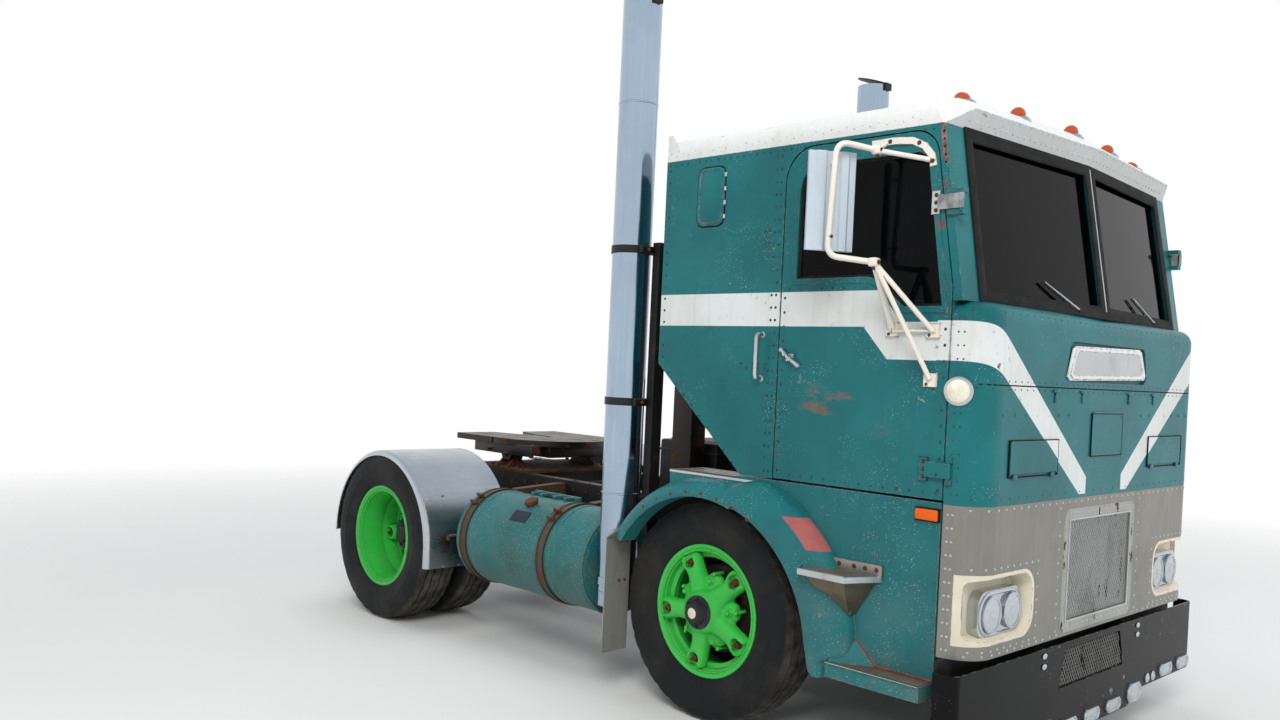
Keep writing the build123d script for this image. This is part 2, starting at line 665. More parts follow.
# wide front part, from above the wheel down to the lower step, with its back edge rounded
with BuildPart() as fender_front:
    with BuildSketch(Plane.YZ.offset(FENDER_IN)):
        with BuildLine():
            Line(on_side(BULGE_FOOT), on_side(BULGE_TOP))
            ThreePointArc(on_side(BULGE_TOP), (st(-320), 1190), on_side(FENDER_CREST))
            ThreePointArc(on_side(FENDER_CREST), (st(-590), 1086), on_side(FENDER_BREAK))
            ThreePointArc(on_side(FENDER_BREAK), (st(-838), 795), on_side(FENDER_LOW))
            Polyline(on_side(FENDER_LOW), on_side(FENDER_HEEL), (st(FENDER_TOE[0] - 8), FENDER_HEEL[1]),
                     on_side(FENDER_TOE), (st(FENDER_TOE[0] + 48), FENDER_TOE[1]), on_side(LIP_FOOT),
                     on_side(LIP_BEND))
            ThreePointArc(on_side(LIP_BEND), (st(-490), 935), on_side(BULGE_FOOT))
        make_face()
    extrude(amount=FENDER_OUT - FENDER_IN)
    back_edges = fender_front.edges().filter_by_position(Axis.X, FENDER_OUT - 1, FENDER_OUT + 1)
    fillet([e for e in back_edges if e.center().Z > 520 and e.center().Y < st(BULGE_TOP[0])
            and (e @ 0.5 - Vector(FENDER_OUT, *arch_point(0, 0))).length > ARCH_R + 80], radius=FENDER_ROLL)
# narrow rear part, a quarter-round roll about the arch's centre, cut to its slanting tip
with BuildPart() as fender_rear:
    with BuildSketch(Plane.XZ.offset(-st(ARCH_Y))) as roll:
        with BuildLine():
            Polyline((FENDER_OUT, ARCH_Z + ROLL_R - FENDER_ROLL), (FENDER_OUT, ARCH_Z + ARCH_R),
                     (FENDER_IN, ARCH_Z + ARCH_R), (FENDER_IN, ARCH_Z + ROLL_R), (FENDER_OUT - FENDER_ROLL, ARCH_Z + ROLL_R))
            RadiusArc((FENDER_OUT - FENDER_ROLL, ARCH_Z + ROLL_R), (FENDER_OUT, ARCH_Z + ROLL_R - FENDER_ROLL), FENDER_ROLL)
        make_face()
    revolve(roll.sketch, axis=Axis((0, st(ARCH_Y), ARCH_Z), (1, 0, 0)), revolution_arc=-58)
    revolve(roll.sketch, axis=Axis((0, st(ARCH_Y), ARCH_Z), (1, 0, 0)), revolution_arc=18)

with BuildPart() as front_fenders:
    add(fender_front.part)
    add(fender_rear.part)
    # step box behind the door
    with Locations(((DECK_IN + FENDER_IN + 8) / 2, st(sum(DECK) / 2), (LINER_Z + LINER_R - 70 + DECK_TOP) / 2)):
        Box(FENDER_IN + 8 - DECK_IN, DECK[1] - DECK[0], DECK_TOP - LINER_Z - LINER_R + 70)
    with BuildSketch(Plane.YZ.offset(LINER_IN)):
        with BuildLine():
            outer = CenterArc((st(LINER_Y), LINER_Z), LINER_R + 6, 36.0, 127.0)
            inner = CenterArc((st(LINER_Y), LINER_Z), LINER_R, 36.0, 127.0)
            Line(outer @ 0, inner @ 0)
            Line(outer @ 1, inner @ 1)
        make_face()
    extrude(amount=FENDER_IN - LINER_IN)
    # bracket from the liner to the frame
    with Locations(((RAIL_X + LINER_IN + 60) / 2, st(-560), 900)):
        Box(LINER_IN + 60 - RAIL_X, 60, 50)
    with BuildSketch(Plane.YZ.offset(RAIL_X)):
        with Locations((st(LINER_Y), LINER_Z)):
            Circle(LINER_R)
    extrude(amount=FENDER_IN - RAIL_X, mode=Mode.SUBTRACT)
    both_sides()
save(front_fenders, "front_fenders")

SPLASH_Y = 548.0
with BuildPart() as splash_plates:
    with BuildSketch(Plane.YZ.offset(1085)):
        with BuildLine():
            Polyline((st(498), 862), (st(SPLASH_Y), 815), (st(SPLASH_Y), 225), (st(SPLASH_Y - 4), 225),
                     (st(SPLASH_Y - 4), 812), (st(488), 850), close=True)
        make_face()
    extrude(amount=170)
    both_sides()
    add(front_fenders.part, mode=Mode.SUBTRACT)
save(splash_plates, "splash_plates")

# Side panels under the doors, with the lower step
PANEL_T = 25.0
PANEL_FRONT = DOOR_FRONT
PANEL_REAR = -600.0
PANEL_TOP = CAB_FLOOR - 6.0
PANEL_BOTTOM = 490.0
STEP_OUT = 1240.0
STEP_BOTTOM = 428.0
with BuildPart() as side_panels:
    with BuildSketch(Plane.YZ.offset(CAB_HALF - PANEL_T)):
        with BuildLine():
            Polyline((st(PANEL_FRONT), PANEL_BOTTOM), (st(PANEL_FRONT), PANEL_TOP), (st(-200), PANEL_TOP),
                     (st(-200), PANEL_TOP - 90), (st(-800), PANEL_BOTTOM), close=True)
        make_face()
        with BuildLine():
            fender_back()
            Line(on_side(FENDER_TOE), on_side(FENDER_TIP))
        make_face(mode=Mode.SUBTRACT)
    extrude(amount=PANEL_T)
    with Locations(((STEP_OUT + CAB_HALF - 120) / 2, st((-815 + PANEL_FRONT) / 2), (STEP_BOTTOM + PANEL_BOTTOM) / 2)):
        Box(STEP_OUT - CAB_HALF + 120, -815 - PANEL_FRONT, PANEL_BOTTOM - STEP_BOTTOM)
    # rib that ties the panel to the frame
    with Locations(((RAIL_X + CAB_HALF - PANEL_T) / 2, st(PANEL_FRONT + 40), 820)):
        Box(CAB_HALF - PANEL_T - RAIL_X, 60, 80)
    both_sides()
    add(front_fenders.part, mode=Mode.SUBTRACT)
save(side_panels, "side_panels")

# Cast step on the side panel: a flange with a shelf and a tapering foot
STEP_SHELF = 868.0
FLANGE_HIGH = 46.0
with BuildPart() as cast_steps:
    with BuildSketch(Plane.YZ.offset(CAB_HALF)):
        with BuildLine():
            FilletPolyline((st(-640), STEP_SHELF - 12), (st(-640), STEP_SHELF + FLANGE_HIGH),
                           (st(-1010), STEP_SHELF + FLANGE_HIGH), (st(-1010), STEP_SHELF - 12), radius=14, close=True)
        make_face()
    extrude(amount=12)
    with BuildSketch(Plane.XY.offset(STEP_SHELF - 22)):
        with BuildLine():
            Polyline((CAB_HALF, st(-620)), (CAB_HALF + 165, st(-700)), (CAB_HALF + 165, st(-930)),
                     (CAB_HALF, st(-1000)), close=True)
        make_face()
    extrude(amount=22)
    with BuildSketch(Plane.XY.offset(STEP_SHELF - 22)) as shelf_foot:
        with BuildLine():
            Polyline((CAB_HALF, st(-650)), (CAB_HALF + 145, st(-715)), (CAB_HALF + 145, st(-915)),
                     (CAB_HALF, st(-980)), close=True)
        make_face()
    with BuildSketch(Plane.XY.offset(STEP_SHELF - 178)) as toe_foot:
        with BuildLine():
            Polyline((CAB_HALF, st(-795)), (CAB_HALF + 40, st(-805)), (CAB_HALF + 40, st(-875)),
                     (CAB_HALF, st(-885)), close=True)
        make_face()
    loft([shelf_foot.sketch, toe_foot.sketch], ruled=True)
    both_sides()
    add(front_fenders.part, mode=Mode.SUBTRACT)
save(cast_steps, "cast_steps")

# Rear half-round fenders and the brackets that carry them
HALF_FENDER_R = 568.0
HALF_FENDER_T = 5.0
HALF_FENDER_Z = 504.0
HALF_FENDER_Y = WHEELBASE + 17.0
HALF_FENDER_OUT = 1320.0
HALF_FENDER_IN = 694.0
with BuildPart() as rear_fenders:
    with BuildSketch(Plane.YZ.offset(HALF_FENDER_IN)):
        with BuildLine():
            r0, r1 = HALF_FENDER_R - HALF_FENDER_T, HALF_FENDER_R
            outer = CenterArc((st(HALF_FENDER_Y), HALF_FENDER_Z), r1, 0, 180)
            inner = CenterArc((st(HALF_FENDER_Y), HALF_FENDER_Z), r0, 0, 180)
            Polyline(outer @ 1, (st(HALF_FENDER_Y) - r1, HALF_FENDER_Z - 110),
                     (st(HALF_FENDER_Y) - r0, HALF_FENDER_Z - 110), inner @ 1)
            Polyline(outer @ 0, (st(HALF_FENDER_Y) + r1, HALF_FENDER_Z - 20),
                     (st(HALF_FENDER_Y) + r0, HALF_FENDER_Z - 20), inner @ 0)
        make_face()
    extrude(amount=HALF_FENDER_OUT - HALF_FENDER_IN)
    both_sides()
save(rear_fenders, "rear_fenders")

FENDER_TUBE_R = 22.0
with BuildPart() as fender_brackets:
    for angle in (35.0, 145.0):
        y = HALF_FENDER_Y + (HALF_FENDER_R + FENDER_TUBE_R - 2) * cos(radians(angle))
        z = HALF_FENDER_Z + (HALF_FENDER_R + FENDER_TUBE_R - 2) * sin(radians(angle))
        with Locations(Location(((RAIL_X + 1200) / 2, st(y), z), (0, 90, 0))):
            Cylinder(FENDER_TUBE_R, 1200 - RAIL_X)
    both_sides()
    add(rear_fenders.part, mode=Mode.SUBTRACT)
save(fender_brackets, "fender_brackets")

# Fifth wheel: base with its pivot ears, and the plate that rocks on them
PIVOT_Z = 1040.0
PIVOT_R = 22.0
EAR_X = 330.0
with BuildPart() as fifth_wheel_base:
    with Locations((0, st(FIFTH_Y), RAIL_TOP + 10)):
        Box(2 * RAIL_X, 620, 20)
    for side in (-1, 1):
        with BuildSketch(Plane.YZ.offset(side * EAR_X - 20)):
            with BuildLine():
                Polyline((st(FIFTH_Y - 150), RAIL_TOP + 20), (st(FIFTH_Y - 40), PIVOT_Z), (st(FIFTH_Y + 40), PIVOT_Z),
                         (st(FIFTH_Y + 150), RAIL_TOP + 20), close=True)
            make_face()
            with Locations((st(FIFTH_Y), PIVOT_Z)):
                Circle(40)
        extrude(amount=40)
        with Locations(Location((side * EAR_X, st(FIFTH_Y), PIVOT_Z), (0, 90, 0))):
            Cylinder(PIVOT_R, 120)
save(fifth_wheel_base, "fifth_wheel_base")

SLOT_HALF_MOUTH = 150.0
with BuildPart() as fifth_wheel_plate:
    with BuildSketch(Plane.XY.offset(FIFTH_TOP - FIFTH_THICK)):
        with Locations((0, st(FIFTH_Y))):
            Circle(FIFTH_R)
        with Locations((0, st(FIFTH_Y + 290))):
            Rectangle(2 * FIFTH_R, 420)
        with Locations((0, st(FIFTH_Y))):
            Circle(KINGPIN_BORE_R, mode=Mode.SUBTRACT)
        with BuildLine():
            Polyline((-KINGPIN_BORE_R + 4, st(FIFTH_Y)), (KINGPIN_BORE_R - 4, st(FIFTH_Y)),
                     (KINGPIN_BORE_R - 4, st(FIFTH_Y + 150)), (SLOT_HALF_MOUTH, st(FIFTH_Y + 520)),
                     (-SLOT_HALF_MOUTH, st(FIFTH_Y + 520)), (-KINGPIN_BORE_R + 4, st(FIFTH_Y + 150)), close=True)
        make_face(mode=Mode.SUBTRACT)
    extrude(amount=FIFTH_THICK)
    for side in (-1, 1):
        for inner in (-1, 1):
            with BuildSketch(Plane.YZ.offset(side * EAR_X + inner * 42 - 12)):
                with BuildLine():
                    Polyline((st(FIFTH_Y - 90), FIFTH_TOP - FIFTH_THICK), (st(FIFTH_Y - 40), PIVOT_Z - 42),
                             (st(FIFTH_Y + 40), PIVOT_Z - 42), (st(FIFTH_Y + 90), FIFTH_TOP - FIFTH_THICK), close=True)
                make_face()
                with Locations((st(FIFTH_Y), PIVOT_Z)):
                    Circle(PIVOT_R + PIN_GAP, mode=Mode.SUBTRACT)
            extrude(amount=24)
save(fifth_wheel_plate, "fifth_wheel_plate")

# Cab
LEAN = (FRAME_TOP - FRAME_FOOT) / (CAB_GUTTER - CAB_BELT)
VEE = atan2(FRAME_VEE, CAB_HALF)
RISE = CAB_GUTTER - CAB_BELT
REAR_GLASS = (620.0, 330.0, CAB_BELT + 330.0)   # width, height, height of its centre


def vee_section(z, shift, inset, half):
    """Plan of the cab above the belt at a height, shifted rearward at its front and inset by a wall."""
    corner = FRAME_FOOT + shift
    with BuildSketch(Plane.XY.offset(z)) as plan:
        with BuildLine():
            Polyline((-half, st(CAB_REAR - inset)), (-half, st(corner + inset)), (0, st(corner - FRAME_VEE + inset)),
                     (half, st(corner + inset)), (half, st(CAB_REAR - inset)), close=True)
        make_face()
    return plan.sketch


def rounded(x, points, rounds):
    """Closed outline of (Y, Z) points on an upright plane along the truck, some corners rounded."""
    with BuildSketch(Plane.YZ.offset(x)) as outline:
        with BuildLine():
            Polyline(*points, close=True)
        make_face()
        for (y, z), radius in rounds:
            corner = min(outline.vertices(), key=lambda v: (v.X - y) ** 2 + (v.Y - z) ** 2)
            fillet(corner, radius=radius)
    return outline.sketch


def door_outline(x, gap, rear_gap):
    """Outline of a door grown by a gap, on the plane at x."""
    rear_top = (st(DOOR_REAR + rear_gap), DOOR_TOP + gap)
    front_top = (st(DOOR_SLANT_TOP - gap), DOOR_TOP + gap)
    points = [
        (st(DOOR_REAR + rear_gap), DOOR_BOTTOM - gap), rear_top, front_top, (st(DOOR_FRONT - gap), DOOR_SLANT_Z),
        (st(DOOR_FRONT - gap), DOOR_BOTTOM - gap),
    ]
    return rounded(x, points, ((rear_top, DOOR_REAR_R + gap), (front_top, DOOR_FRONT_R + gap)))


def window_outline(x, grow=0.0):
    """Outline of the door's window on the plane at x."""
    rear_top = (st(WINDOW_REAR + grow), WINDOW_TOP + grow)
    front_top = (st(WINDOW_FRONT_TOP - grow), WINDOW_TOP + grow)
    step = (st(WINDOW_STEP_REAR), WINDOW_SILL - grow)
    points = [
        rear_top, front_top, (st(WINDOW_FRONT - grow), WINDOW_DIP - grow), (st(WINDOW_STEP_FRONT), WINDOW_DIP - grow),
        step, (st(WINDOW_REAR + grow), WINDOW_SILL - grow),
    ]
    rounds = ((rear_top, WINDOW_REAR_R + grow), (front_top, WINDOW_FRONT_R + grow), (step, WINDOW_REAR_R))
    return rounded(x, points, rounds)


def pane_plane(side):
    """Plane of the windshield frame's face on one side of the centre post, local X outward, local Y up."""
    along = Vector(side * cos(VEE), sin(VEE), 0)
    return Plane(origin=(0, st(FRAME_FOOT - FRAME_VEE), CAB_BELT), x_dir=along, z_dir=along.cross(Vector(0, LEAN, 1)))


def pane_outline(side, inset):
    """Outline of a windshield pane on the frame's face, and +1 where the plane faces ahead, else -1."""
    face = pane_plane(side)
    skew = sin(VEE) * LEAN * RISE
    high = RISE * sqrt(1 + LEAN * LEAN - (LEAN * sin(VEE)) ** 2)
    with BuildSketch(face) as pane:
        with BuildLine():
            Polyline((24 + inset, 24 + inset), (PANE_FOOT_HALF - inset, 24 + inset),
                     (PANE_TOP_HALF + skew - inset, high - 22 - inset), (24 + skew + inset, high - 22 - inset), close=True)
        make_face()
    return pane.sketch, (1 if face.z_dir.Y < 0 else -1)


with BuildPart() as cab_shell:
    # outer body below the belt, then above it
    with Locations((0, (st(NOSE_BACK) + st(CAB_REAR)) / 2, (CAB_FLOOR + CAB_BELT) / 2)):
        Box(2 * CAB_HALF, CAB_REAR - NOSE_BACK, CAB_BELT - CAB_FLOOR)
    loft([vee_section(CAB_BELT, 0, 0, CAB_HALF), vee_section(CAB_GUTTER, LEAN * RISE, 0, CAB_HALF)], ruled=True)
    # upper hinge bracket and pins on the pillars
    with Locations(*[(side * (CAB_HALF + HINGE_OUT - 20), st(-1258), HINGE_ZS[0] + end * 42)
                     for side in (-1, 1) for end in (-1, 1)]):
        Box(40, 68, 20)
    # inner body, a wall left all round
    with Locations((0, (st(NOSE_BACK) + st(CAB_REAR)) / 2, (CAB_FLOOR + CAB_WALL + CAB_BELT) / 2)):
        Box(2 * (CAB_HALF - CAB_WALL), CAB_REAR - NOSE_BACK - 2 * CAB_WALL, CAB_BELT - CAB_FLOOR - CAB_WALL,
            mode=Mode.SUBTRACT)
    loft([vee_section(CAB_BELT + 30, LEAN * 30, CAB_WALL, CAB_HALF - CAB_WALL),
          vee_section(CAB_GUTTER, LEAN * RISE, CAB_WALL, CAB_HALF - CAB_WALL)], ruled=True, mode=Mode.SUBTRACT)
    with Locations((0, (st(NOSE_BACK) + st(CAB_REAR)) / 2, CAB_BELT + 15)):
        Box(2 * (CAB_HALF - CAB_WALL), CAB_REAR - NOSE_BACK - 2 * CAB_WALL, 30, mode=Mode.SUBTRACT)
    # sloped underside of the sleeper, and the floor above it
    with BuildSketch(Plane.YZ.offset(-CAB_HALF)):
        with BuildLine():
            Polyline((st(CHAMFER_FRONT), CAB_FLOOR), (st(CAB_REAR), CHAMFER_REAR_Z), (st(CAB_REAR), CHAMFER_REAR_Z + 60),
                     (st(CHAMFER_FRONT) - 20, CAB_FLOOR + CAB_WALL), close=True)
        make_face()
    extrude(amount=2 * CAB_HALF)
    with BuildSketch(Plane.YZ.offset(-CAB_HALF - 1)):
        with BuildLine():
            Polyline((st(CHAMFER_FRONT), CAB_FLOOR - 1), (st(CHAMFER_FRONT), CAB_FLOOR), (st(CAB_REAR), CHAMFER_REAR_Z),
                     (st(CAB_REAR) + 1, CHAMFER_REAR_Z), (st(CAB_REAR) + 1, CAB_FLOOR - 1), close=True)
        make_face()
    extrude(amount=2 * CAB_HALF + 2, mode=Mode.SUBTRACT)
    # door openings
    for x in (-CAB_HALF - 60, CAB_HALF - CAB_WALL - 2):
        extrude(door_outline(x, DOOR_GAP, DOOR_REAR_GAP), amount=60 + CAB_WALL + 2, mode=Mode.SUBTRACT)
    # windshield openings
    for side in (-1, 1):
        extrude(pane_outline(side, 0)[0], amount=90, both=True, mode=Mode.SUBTRACT)
    # rear window
    with BuildSketch(across(CAB_REAR + 1)):
        with Locations((0, REAR_GLASS[2])):
            RectangleRounded(REAR_GLASS[0], REAR_GLASS[1], 60)
    extrude(amount=CAB_WALL + 2, mode=Mode.SUBTRACT)
    with Locations(*[(side * (CAB_HALF + HINGE_OUT), st(HINGE_Y), HINGE_ZS[0]) for side in (-1, 1)]):
        Cylinder(HINGE_PIN_R, 84)
save(cab_shell, "cab_shell")

with BuildPart() as windshield_glass:
    for side in (-1, 1):
        pane, ahead = pane_outline(side, 0)
        extrude(pane, amount=-ahead * (GLASS_BACK + GLASS_THICK))
    for side in (-1, 1):
        pane, ahead = pane_outline(side, -5)
        extrude(pane, amount=-ahead * GLASS_BACK, mode=Mode.SUBTRACT)
save(windshield_glass, "windshield_glass")

with BuildPart() as rear_glass:
    with BuildSketch(across(CAB_REAR - CAB_WALL / 2)):
        with Locations((0, REAR_GLASS[2])):
            RectangleRounded(REAR_GLASS[0], REAR_GLASS[1], 60)
    extrude(amount=GLASS_THICK)
save(rear_glass, "rear_glass")


def nose_outline(inset, z):
    """Plan of the nose's skin: flat face, round corners, short sides."""
    half = CAB_HALF - inset
    face = st(CAB_FRONT + inset)
    r = CORNER_R - inset
    k = r * (1 - sqrt(0.5))
    with BuildSketch(Plane.XY.offset(z)) as plan:
        with BuildLine():
            Line((-half, st(NOSE_BACK)), (-half, face + r))
            ThreePointArc((-half, face + r), (-half + k, face + k), (-half + r, face))
            Line((-half + r, face), (half - r, face))
            ThreePointArc((half - r, face), (half - k, face + k), (half, face + r))
            Line((half, face + r), (half, st(NOSE_BACK)))
            Line((half, st(NOSE_BACK)), (-half, st(NOSE_BACK)))
        make_face()
    return plan.sketch


EMBLEM_Z = 1793.0
with BuildPart() as nose_panel:
    extrude(nose_outline(0, SKIRT_TOP), amount=CAB_BELT - SKIRT_TOP)
    top_edges = nose_panel.faces().sort_by(Axis.Z)[-1].edges()
    fillet(top_edges.filter_by_position(Axis.Y, -1e5, st(NOSE_BACK) - 1), radius=NOSE_ROLL_R)
    extrude(nose_outline(NOSE_SKIN, SKIRT_TOP), amount=CAB_BELT - SKIRT_TOP - 60, mode=Mode.SUBTRACT)
    # recess of the plain emblem panel
    with BuildSketch(across(CAB_FRONT)):
        with BuildLine():
            FilletPolyline((-444, EMBLEM_Z - 86), (444, EMBLEM_Z - 86), (402, EMBLEM_Z + 84), (-402, EMBLEM_Z + 84),
                           radius=38, close=True)
        make_face()
    extrude(amount=-16, mode=Mode.SUBTRACT)
    # shield panel and side lids, slightly proud
    with BuildSketch(across(CAB_FRONT)):
        with Locations((0, 1476)):
            RectangleRounded(326, 202, 20)
        with Locations((700, 1390), (-700, 1390)):
            RectangleRounded(420, 134, 12)
    extrude(amount=6)
    # lower hinge brackets and pins
    with Locations(*[(side * (CAB_HALF + HINGE_OUT - 20), st(HINGE_Y), HINGE_ZS[1] + end * 42)
                     for side in (-1, 1) for end in (-1, 1)]):
        Box(40, 24, 20)
    with Locations(*[(side * (CAB_HALF + HINGE_OUT), st(HINGE_Y), HINGE_ZS[1]) for side in (-1, 1)]):
        Cylinder(HINGE_PIN_R, 84)
save(nose_panel, "nose_panel")

POCKET = (635.0, 1140.0, 650.0, 930.0)     # inner x, outer x, bottom, top
POCKET_BACK = CAB_FRONT + 97.0
POCKET_R = 95.0         # rounding of the two inner corners
POCKET_EDGE = 16.0


def pocket_outline(side, station, inset):
    """Front outline of a headlamp pocket: round inner corners, nearly square outer ones."""
    x0, x1, z0, z1 = POCKET[0] + inset, POCKET[1] - inset, POCKET[2] + inset, POCKET[3] - inset
    with BuildSketch(across(station)) as pocket:
        with BuildLine():
            Polyline((side * x0, z0), (side * x1, z0), (side * x1, z1), (side * x0, z1), close=True)
        make_face()
        inner_r = POCKET_R - inset * 0.7
        for x, z, radius in ((x0, z0, inner_r), (x0, z1, inner_r), (x1, z0, 20), (x1, z1, 20)):
            corner = min(pocket.vertices(), key=lambda v: (v.X - side * x) ** 2 + (v.Y - z) ** 2)
            fillet(corner, radius=radius)
    return pocket.sketch


with BuildPart() as skirt_panel:
    extrude(nose_outline(0, SKIRT_BOTTOM), amount=SKIRT_TOP - SKIRT_BOTTOM)
    extrude(nose_outline(SKIRT_SKIN, SKIRT_BOTTOM), amount=SKIRT_TOP - SKIRT_BOTTOM, mode=Mode.SUBTRACT)
    with BuildSketch(across(CAB_FRONT - 1)):
        with Locations((0, (GRILLE_BOTTOM + GRILLE_TOP) / 2)):
            RectangleRounded(2 * GRILLE_HALF, GRILLE_TOP - GRILLE_BOTTOM, GRILLE_CORNER)
    extrude(amount=-(POCKET_BACK - CAB_FRONT + 1), mode=Mode.SUBTRACT)
    for side in (-1, 1):
        extrude(pocket_outline(side, CAB_FRONT - 1, 0), amount=-(POCKET_BACK - CAB_FRONT + 1), mode=Mode.SUBTRACT)
save(skirt_panel, "skirt_panel")

with BuildPart() as lamp_pockets:
    extrude(nose_outline(0, POCKET[2]), amount=POCKET[3] - POCKET[2])
    with BuildPart(mode=Mode.INTERSECT):
        for side in (-1, 1):
            extrude(pocket_outline(side, CAB_FRONT - 1, 0), amount=-(POCKET_BACK - CAB_FRONT + 1))
    for side in (-1, 1):
        loft([pocket_outline(side, CAB_FRONT - 1, POCKET_EDGE), pocket_outline(side, POCKET_BACK - 15, POCKET_EDGE + 20)],
             ruled=True, mode=Mode.SUBTRACT)
save(lamp_pockets, "lamp_pockets")

with BuildPart() as headlamps:
    for side in (-1, 1):
        with BuildSketch(across(POCKET_BACK - 15)):
            with Locations((side * LAMP_X, LAMP_Z)):
                RectangleRounded(2 * LAMP_R + LAMP_PITCH + 44, 2 * LAMP_R + 44, 60)
        extrude(amount=48)
        with BuildSketch(across(POCKET_BACK - 15)):
            with Locations((side * LAMP_X - LAMP_PITCH / 2, LAMP_Z), (side * LAMP_X + LAMP_PITCH / 2, LAMP_Z)):
                Circle(LAMP_R)
        extrude(amount=60)
    add(lamp_pockets.part, mode=Mode.SUBTRACT)
save(headlamps, "headlamps")

with BuildPart() as grille:
    middle = (GRILLE_BOTTOM + GRILLE_TOP) / 2
    with BuildSketch(across(CAB_FRONT)):
        with Locations((0, middle)):
            RectangleRounded(2 * GRILLE_HALF, GRILLE_TOP - GRILLE_BOTTOM, GRILLE_CORNER)
            RectangleRounded(2 * (GRILLE_HALF - GRILLE_BORDER), GRILLE_TOP - GRILLE_BOTTOM - 2 * GRILLE_BORDER, 30,
                             mode=Mode.SUBTRACT)
    extrude(amount=-GRILLE_THICK)
    with BuildSketch(across(CAB_FRONT + GRILLE_THICK - 4)):
        with Locations((0, middle)):
            RectangleRounded(2 * GRILLE_HALF - 40, GRILLE_TOP - GRILLE_BOTTOM - 40, 30)
    extrude(amount=-4)
save(grille, "grille")

with BuildPart() as tilt_arms:
    with BuildSketch(Plane.YZ.offset(TILT_ARM_X - TILT_ARM_T / 2)):
        with BuildLine():
            Polyline((st(TILT_Y - 17), TILT_Z), (st(TILT_Y - 17), 1150), (st(NOSE_BACK), CAB_FLOOR),
                     (st(NOSE_BACK + 150), CAB_FLOOR), (st(NOSE_BACK + 150), CAB_FLOOR - 30),
                     (st(TILT_Y + 40), 1110), (st(TILT_Y + 17), TILT_Z), close=True)
        make_face()
        with Locations((st(TILT_Y), TILT_Z)):
            Circle(TILT_EYE_R)
            Circle(TILT_PIN_R + PIN_GAP, mode=Mode.SUBTRACT)
    extrude(amount=TILT_ARM_T)
    both_sides()
save(tilt_arms, "tilt_arms")


def roof_profile(shrink, z0):
    """Section of the roof across the truck, with rounded shoulders and a low crown."""
    half = CAB_HALF - shrink
    sx, sz = ROOF_SHOULDER[0] - shrink, ROOF_SHOULDER[1] - shrink
    with BuildSketch(across(CAB_REAR)) as section:
        with BuildLine():
            Line((-half, z0), (half, z0))
            Line((half, z0), (half, ROOF_LIP))
            ThreePointArc((half, ROOF_LIP), (ROOF_BULGE[0] - shrink, ROOF_BULGE[1] - shrink), (sx, sz))
            ThreePointArc((sx, sz), (0, ROOF_CROWN - shrink), (-sx, sz))
            ThreePointArc((-sx, sz), (shrink - ROOF_BULGE[0], ROOF_BULGE[1] - shrink), (-half, ROOF_LIP))
            Line((-half, ROOF_LIP), (-half, z0))
        make_face()
    return section.sketch


def brow_section(z, shift, inset, cut):
    """Plan of the roof at a height: as the cab's, with its front corners cut off."""
    half = CAB_HALF - inset
    corner = FRAME_FOOT + shift + inset
    back = corner + cut * BROW_CUT_RUN
    run = -cut * FRAME_VEE / CAB_HALF
    with BuildSketch(Plane.XY.offset(z)) as plan:
        with BuildLine():
            Polyline((-half, st(CAB_REAR - inset)), (-half, st(back)), (cut - half, st(corner + run)),
                     (0, st(corner - FRAME_VEE)), (half - cut, st(corner + run)), (half, st(back)),
                     (half, st(CAB_REAR - inset)), close=True)
        make_face()
    return plan.sketch


def roof_solid(inset):
    """Roof body between the gutter and the crown with its brow, inset by a wall."""
    shift = LEAN * RISE
    foot = brow_section(CAB_GUTTER, shift, inset, BROW_FOOT_CUT)
    crease = brow_section(BROW_Z, shift - BROW_OUT, inset, BROW_CUT)
    crown = brow_section(ROOF_CROWN, shift + BROW_BACK, inset, BROW_CUT)
    loft([foot, crease], ruled=True)
    loft([crease, crown], ruled=True)
    extrude(roof_profile(inset, CAB_GUTTER), amount=2000, mode=Mode.INTERSECT)


with BuildPart() as roof_body:
    roof_solid(0)
with BuildPart() as roof_hollow:
    roof_solid(ROOF_SKIN)
with BuildPart() as roof_cap:
    add(roof_body.part)
    add(roof_hollow.part, mode=Mode.SUBTRACT)
save(roof_cap, "roof_cap")

with BuildPart() as marker_lamps:
    # x, station behind the brow's foot, height of the roof there under the crown
    for x, back, drop in ((0.0, -8.0, 8.0), (470.0, 19.0, 14.0), (-470.0, 19.0, 14.0), (880.0, 57.0, 30.0),
                          (-880.0, 57.0, 30.0)):
        base = ROOF_CROWN - drop
        with BuildSketch(Plane.XY.offset(base - 30)):
            with Locations((x, st(FRAME_TOP + back))):
                Circle(44)
            with BuildLine():
                Polyline((x - 43, st(FRAME_TOP + back)), (x, st(FRAME_TOP + back + 130)), (x + 43, st(FRAME_TOP + back)),
                         close=True)
            make_face()
        extrude(amount=30 + 22)
        with Locations((x, st(FRAME_TOP + back), base + 36)):
            Cylinder(34, 28)
            with Locations((0, 0, 14)):
                Cylinder(22, 20)
    add(roof_body.part, mode=Mode.SUBTRACT)
save(marker_lamps, "marker_lamps")


